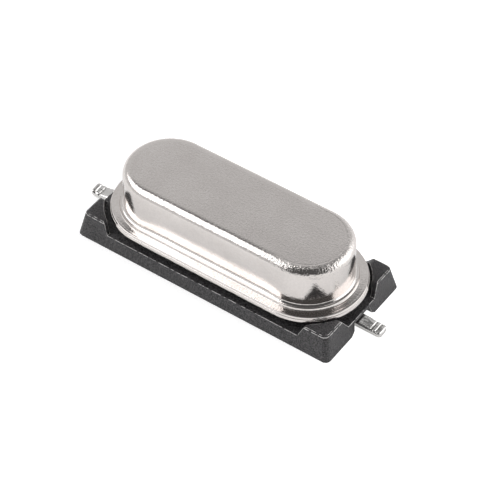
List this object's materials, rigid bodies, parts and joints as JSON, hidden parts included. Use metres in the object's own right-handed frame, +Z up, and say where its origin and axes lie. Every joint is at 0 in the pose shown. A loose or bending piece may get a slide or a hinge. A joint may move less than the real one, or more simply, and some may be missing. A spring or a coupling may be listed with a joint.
{
  "type": "surface-mount oscillator crystal",
  "caption": "Low-profile quartz crystal in a welded metal can on a black moulded base, with flattened leads that run out under its ends for surface mounting.",
  "frame": {"origin": "centre of the footprint, on the plane where the base and both leads meet the circuit board", "axes": "+X runs through both leads along the length, +Y across the width, +Z up from the board through the top of the can"},
  "size_m": [0.013, 0.0048, 0.0031],
  "materials": {
    "moulded_black": "fine-grained mineral-filled moulding",
    "can_metal": "satin nickel plate",
    "header_metal": "satin nickel plate",
    "seal_glass": "dark fused glass",
    "tinned_wire": "tin-dipped wire, pressed flat at its end",
    "spring_strip": "plain rolled strip",
    "quartz": "lapped and polished",
    "silver_film": "evaporated film",
    "silver_adhesive": "cured conductive adhesive"
  },
  "bodies": {
    "root": {"plastic_base": "moulded_black", "can_cover": "can_metal", "header_plate": "header_metal", "glass_seal_left": "seal_glass", "glass_seal_right": "seal_glass", "lead_left": "tinned_wire", "lead_right": "tinned_wire", "support_left": "spring_strip", "support_right": "spring_strip", "quartz_strip": "quartz", "electrode_top": "silver_film", "electrode_bottom": "silver_film", "adhesive_left": "silver_adhesive", "adhesive_right": "silver_adhesive"}
  },
  "joints": []
}
